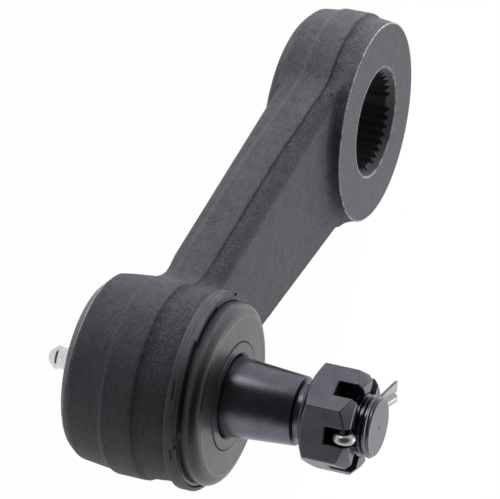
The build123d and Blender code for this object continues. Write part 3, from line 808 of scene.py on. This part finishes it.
def thread_grid(bm):
    """Adds the thread's surface from THREAD_LOW to STUD_END, and ends it in plain rings."""
    turns = int((STUD_END - THREAD_LOW) / THREAD_PITCH) + 3
    rows = []
    for turn in range(-1, turns):
        for share, sunk in THREAD_ROWS:
            row = []
            for i in range(STUD_STEPS + 1):
                z = THREAD_LOW + THREAD_PITCH * (turn + share + i / STUD_STEPS)
                radius = CREST_RADIUS - THREAD_DEPTH * sunk
                radius = min(radius, LOW_RING + max(z - THREAD_LOW, 0) * RUN_OUT)
                radius = min(radius, END_RING + max(STUD_END - z, 0))
                z = min(max(z, THREAD_LOW), STUD_END)
                if z == THREAD_LOW:
                    radius = LOW_RING
                elif z == STUD_END:
                    radius = END_RING
                row.append(bm.verts.new(turned_point(radius, math.tau * i / STUD_STEPS, z)))
            rows.append(row)
    for low, high in zip(rows, rows[1:]):
        for i in range(STUD_STEPS):
            quad = (low[i], low[i + 1], high[i + 1], high[i])
            if max(v.co.z for v in quad) - min(v.co.z for v in quad) > 1e-8:
                bm.faces.new(quad)


ball_start = math.asin(-math.sqrt(BALL_RADIUS**2 - BALL_FLAT_RADIUS**2) / BALL_RADIUS)
ball_end = math.acos(NECK_RADIUS / BALL_RADIUS)
ball_arc = [
    (BALL_RADIUS * math.cos(a), BALL_Z + BALL_RADIUS * math.sin(a))
    for a in np.linspace(ball_start, ball_end, 24)
]
below = [(0, ball_arc[0][1])] + ball_arc[:-1] + [
    (*ball_arc[-1], 1.2), (NECK_RADIUS, 0.4), (11.35, 8.0, 0.6), (11.35, 10.5, 0.4), (9.8, 30.75, 0.3),
    (7.75, 30.75, 0.3), (7.75, 33.0), (LOW_RING, THREAD_LOW),
]
above = [(END_RING, STUD_END), (6.9, STUD_END), (0.75, STUD_END), (0, STUD_END - 0.7)]
bm = bmesh.new()
spin(bm, rounded(below), STUD_X, STUD_STEPS, closed=False)
thread_grid(bm)
spin(bm, above, STUD_X, STUD_STEPS, closed=False)
stud = piece_from(bm, "stud", STUD_BLACK, STUD_SHARP)
print("stud:", len(stud.data.polygons), "faces")

# %% [markdown]
# A drill makes the cotter pin's hole, straight across the thread.

# %% Drill the stud
PIN_Z, PIN_TURN = 47.4, math.radians(-17.0)
PIN_HOLE_RADIUS = 2.1

across = on_stud(PIN_Z, PIN_TURN) @ Matrix.Rotation(math.pi / 2, 4, "Y")
cut(stud, bar("drill", PIN_HOLE_RADIUS, 24, 48, across, STUD_BLACK))
crease(stud.data, STUD_SHARP)
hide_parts("ball_stud")
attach(stud, "stud")
print("drilled stud:", len(stud.data.polygons), "faces")

# %% [markdown]
# The castle nut is a hexagon bar turned to a chamfer at both ends, then slotted. So a turned blank is
# trimmed to a hexagon, and three bars across it cut the six slots.

# %% Castle nut
NUT_TURN = math.radians(-18.6)
NUT_ACROSS = 27.0             # between two flats
SLOT_BAR, SLOT_Z = (40, 5.2, 10), 47.2        # length, width and height of the bar, and its middle's height

nut = lathe("nut", [
    (8.75, 33.0, 0.2), (10.0, 33.0, 0.4), (10.0, 34.6), (12.8, 34.6, 0.3), (15.7, 36.35), (15.7, 45.95),
    (12.3, 49.2, 0.3), (9.3, 49.2, 0.3), (8.75, 48.4),
], NUT_BLACK, 144)
to_corner = NUT_ACROSS / 2 / math.cos(math.pi / 6)
cut(nut, bar("hexagon", to_corner, 22, 6, on_stud(41.0, NUT_TURN), NUT_BLACK), "INTERSECT")
for i in range(3):
    bm = bmesh.new()
    bmesh.ops.create_cube(bm, size=1.0)
    size = Matrix.Diagonal((*(side * MM for side in SLOT_BAR), 1))
    place = on_stud(SLOT_Z, NUT_TURN + i * math.pi / 3)
    bmesh.ops.transform(bm, verts=bm.verts, matrix=place @ size)
    cut(nut, piece_from(bm, "slot", NUT_BLACK))
print("nut:", len(nut.data.polygons), "faces")

# %% [markdown]
# The nut's edges catch the light as thin bright lines. A fine voxel remesh with a little smoothing rounds
# every edge by about a fifth of a millimetre, as tumbling does. It is surer here than a bevel, because the
# curved chamfers meet the flats in slanting edges.

# %% Break the nut's edges
NUT_VOXEL = 0.22

voxel_remesh(nut, NUT_VOXEL)
smooth_skin(nut.data, rounds=4)
dress(nut, NUT_BLACK)
for face in nut.data.polygons:
    face.use_smooth = True
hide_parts("castle_nut")
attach(nut, "stud")
print("nut:", len(nut.data.polygons), "faces")

# %% [markdown]
# The boot's ring is rolled from strip: its ends overlap, and two narrow slits and a notch show in its wall.
# Short curved bars cut the slits, the notch and a pin hole, and two more are joined on as the overlapping
# end.

# %% Boot retaining ring
BAR_STEPS = 24
SLIT_RADII = (27.6, 29)


def curved_bar(azimuths, heights, radii):
    """A bar that follows a cylinder from one azimuth to another, with heights (low, high) at each end."""
    bm = bmesh.new()
    sections = []
    for i in range(BAR_STEPS + 1):
        share = i / BAR_STEPS
        angle = math.radians(azimuths[0] + (azimuths[1] - azimuths[0]) * share)
        low, high = (heights[0][k] + (heights[1][k] - heights[0][k]) * share for k in (0, 1))
        sections.append([
            bm.verts.new(turned_point(r, angle, z))
            for r, z in ((radii[0], low), (radii[1], low), (radii[1], high), (radii[0], high))
        ])
    bm.faces.new(sections[0])
    bm.faces.new(reversed(sections[-1]))
    for here, there in zip(sections, sections[1:]):
        for k in range(4):
            bm.faces.new((here[k], here[(k + 1) % 4], there[(k + 1) % 4], there[k]))
    return piece_from(bm, "bar", RING_BLACK)


ring = lathe("boot_ring", [
    (24.6, 0.92), (28.3, 0.92, 0.5), (28.3, 4.6, 0.5), (27.1, 4.6, 0.35), (27.1, 2.0, 0.3), (24.6, 2.0),
], RING_BLACK, 224)
cut(ring, curved_bar((-42.5, -31.5), ((2.35, 2.75), (2.65, 3.0)), SLIT_RADII))
cut(ring, curved_bar((-1.25, 7.0), ((3.0, 3.35), (3.05, 3.4)), SLIT_RADII))
cut(ring, curved_bar((-8.75, -2.25), ((3.9, 5.5), (4.1, 5.5)), (26.0, 29.0)))
cut(ring, curved_bar((-67.0, -100.0), ((4.2, 5.05), (4.2, 5.0)), (27.15, 28.4)), "UNION")
cut(ring, curved_bar((-99.0, -195.0), ((4.2, 5.0), (4.2, 4.9)), (26.15, 28.38)), "UNION")
cut(ring, curved_bar((-129.0, -125.5), ((4.5, 5.3), (4.5, 5.3)), (27.2, 28.1)))
crease(ring.data)
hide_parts("boot_retaining_ring")
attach(ring, "arm")
print("ring:", len(ring.data.polygons), "faces")

# %% [markdown]
# The boot has to give when the stud leans. Its outer shell is held by the ring and stays with the arm, and
# its lip leans with the neck ring. Between them the disc is two sheets, which both rise a hair towards the
# stud. They are fixed to neither part and do not bend. Real rubber would bulge on the side that is
# pressed.

# %% Dust boot
BOOT_STEPS, FOLD_RINGS = 144, 13
WALL_BASE_Z = 5.0             # the height at which a wall has its given radius
SHELL_EDGE, FOLD_SEAM, LIP_EDGE = (22.15, 10.12), (18.6, 10.20), (16.3, 10.28)


def wall_points(start_z, end_z, slope, radius):
    """Points up or down a leaning wall, which has this radius at WALL_BASE_Z."""
    return [(radius + (z - WALL_BASE_Z) * slope, z) for z in np.linspace(start_z, end_z, 4)]


def fold(name, outer, inner):
    """A sheet between two circles, given as (r, z)."""
    bm = bmesh.new()
    circles = [tuple(p) for p in np.linspace(outer, inner, FOLD_RINGS)]
    spin(bm, circles, STUD_X, BOOT_STEPS, closed=False)
    sheet = piece_from(bm, name, BOOT_RUBBER)
    if sheet.data.polygons[0].normal.z < 0:
        sheet.data.flip_normals()
    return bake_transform(sheet)


shoulder = [(22.95 + 3.09 * math.cos(a), 7.4 + 2.65 * math.sin(a)) for a in np.linspace(0, 1.47, 12)]
shell = lathe("boot_shell", [
    (24.65, 2.15), (26.95, 2.15), (26.95, 4.2, 0.3), (25.95, 4.35, 0.1), *wall_points(4.75, 7.1, 0.07, 25.87),
    *shoulder, (22.75, 10.2, 0.12), SHELL_EDGE, (22.45, 9.7), (23.3, 9.2, 0.3),
    *wall_points(7.5, 4.75, -0.08, 24.05), (23.8, 3.25), (24.65, 2.7),
], BOOT_RUBBER, BOOT_STEPS)
lip = lathe("boot_lip", [
    LIP_EDGE, (15.5, 10.28, 0.25), (15.5, 8.85), (11.65, 8.85), (11.65, 7.8), (13.6, 7.95), (15.1, 8.2, 0.3),
    (15.7, 8.8), (15.8, 9.8),
], BOOT_RUBBER, BOOT_STEPS)
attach(shell, "arm")
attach(lip, "neck")
folds = [
    fold("boot_fold_outer", SHELL_EDGE, FOLD_SEAM),
    fold("boot_fold_inner", FOLD_SEAM, LIP_EDGE),
]
for part in (shell, lip, *folds):
    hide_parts("dust_boot")
print("boot:", sum(len(part.data.polygons) for part in (shell, lip, *folds)), "faces")

# %% [markdown]
# The grease fitting is a small plated nipple: a ball end that the gun's coupler grips, a shallow waist, a
# round driven body and a tapped shank. It is turned from one outline, with soft corners that hold bright
# reflections.

# %% Grease fitting
fitting = lathe("grease_nipple", [
    (1.0, -45.4), (1.9, -45.4, 0.5), (3.4, -43.5, 0.7), (3.4, -42.9, 0.4), (3.1, -42.4, 0.3),
    (3.1, -41.0, 0.3), (3.45, -40.5, 0.4), (3.45, -36.0, 0.3), (3.05, -36.0), (3.05, -32.2), (0.8, -32.2),
    (0.8, -38.2), (1.3, -38.2), (1.3, -44.7), (0.8, -44.7), (0.8, -45.2, 0.15),
], ZINC, 96)
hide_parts("grease_fitting")
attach(fitting, "arm")
print("fitting:", len(fitting.data.polygons), "faces")

# %% [markdown]
# Both springs are coils that shorten under load: the large one as the lower bearing sinks, the small one as
# the gun's grease pushes the check ball in. Here each is a copy of its CAD coil in spring steel, fixed to
# the arm, and keeps its length.


# %% Springs
def coil_that_gives(name, node):
    """A copy of a CAD spring in spring steel, fixed to the arm."""
    coil = put_in_scene(name, nodes[node].data.copy())
    dress(coil, SPRING)
    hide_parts(node)
    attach(coil, "arm")
    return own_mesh(coil)


coils = [
    coil_that_gives("preload_coil", "preload_spring"),
    coil_that_gives("check_ball_coil", "check_ball_spring"),
]
print("coils:", [(coil.name, len(coil.data.polygons)) for coil in coils])

# %% [markdown]
# The other pieces of the CAD model already have their shapes, so they only get their finishes.

# %% Finishes of the carried-over pieces
finishes = {
    "upper_bearing": ACETAL, "lower_bearing": ACETAL, "check_ball": SPRING, "cover_plate": COVER,
    "boot_neck_ring": NECK_RUBBER, "cotter_pin": PIN_ZINC,
}
for name, finish in finishes.items():
    dress(nodes[name], finish)
print("carried over:", sorted(finishes))

# %% [markdown]
# The studio is a dim front, a soft key from the stud's side, a large light over the top of the picture, one
# that only reflections show, and a pale table. The world is fixed to the object, and a ray straight from
# the camera sees plain white, as the cut-out photograph shows.

# %% World and lights
LIGHT_DISTANCE = 0.9          # metres from the target to a light
ARM_MIDDLE, STUD_MIDDLE = (0.08, 0, -0.01), (STUD_X * MM, 0, 0.02)

world = bpy.data.worlds.new("studio")
bpy.context.scene.world = world
sky = Paint(world)
direction = sky.node("TexCoord", out="Generated")
facing = sky.node("VectorMath", {"operation": "DOT_PRODUCT"}, {0: direction, 1: -LOOKING}, out="Value")
surround = facing.ramp(0.2, 0.74, 1.0, 0.08)
matt_light = sky.blend(facing.ramp(-0.3, 0.6, 0.55, 0.02), BLACK, WHITE)
shiny_light = sky.blend(surround, BLACK, WHITE)
from_camera = sky.node("LightPath", out="Is Camera Ray")
mirrored = sky.output(from_camera, "Is Glossy Ray") + sky.output(from_camera, "Is Transmission Ray")
colour = sky.blend(mirrored.ramp(0, 1), matt_light, shiny_light)
colour = sky.blend(from_camera, colour, WHITE)
sky.show(sky.node("Background", {}, {"Color": colour, "Strength": 1.0}))


def soft_light(name, towards, power, size, target=ARM_MIDDLE):
    """A round area light that shines at the target from the direction towards."""
    target = Vector(target)
    data = bpy.data.lights.new(name, "AREA")
    data.energy, data.size, data.shape = power, size, "DISK"
    made = put_in_scene(name, data)
    made.location = target + Vector(towards).normalized() * LIGHT_DISTANCE
    made.rotation_euler = (target - made.location).to_track_quat("-Z", "Y").to_euler()
    return made


soft_light("key", (-0.39, 0.31, 0.87), 1.9, 0.5)
overhead = soft_light("overhead", (-0.56, -0.81, -0.19), 15.5, 0.7)
overhead.visible_glossy = False
strip = soft_light("strip", (-0.02, -0.945, -0.33), 1.25, 0.42, target=STUD_MIDDLE)
strip.visible_diffuse = False

# %% [markdown]
# The floor lies just under the grease fitting. It shows as white to the camera, but keeps a faint shadow.

# %% Floor
FLOOR_GAP, FLOOR_RADIUS, FLOOR_X = 0.0005, 0.21, 0.07     # metres
FLOOR_GLOW = 0.985            # the rest of 1 takes the shadow

floor_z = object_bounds()[0][2] - FLOOR_GAP
bm = bmesh.new()
bmesh.ops.create_circle(bm, cap_ends=True, segments=96, radius=FLOOR_RADIUS)
floor = object_from(bm, "floor")
floor.location = (FLOOR_X, 0, floor_z)
table = paint("table")
seen = table.node("LightPath", out="Is Camera Ray")
seen = seen + table.output(seen, "Is Glossy Ray") + table.output(seen, "Is Transmission Ray")
matt = table.node("BsdfDiffuse", {}, {"Color": (0.8, 0.8, 0.8, 1)})
glow = table.node("Emission", {}, {"Color": WHITE, "Strength": 1.0})
floor_look = table.node("MixShader", {}, {0: seen.ramp(0, 1, 0, FLOOR_GLOW), 1: matt, 2: glow})
floor.data.materials.append(table.show(floor_look))
print("floor at", round(floor_z, 4))
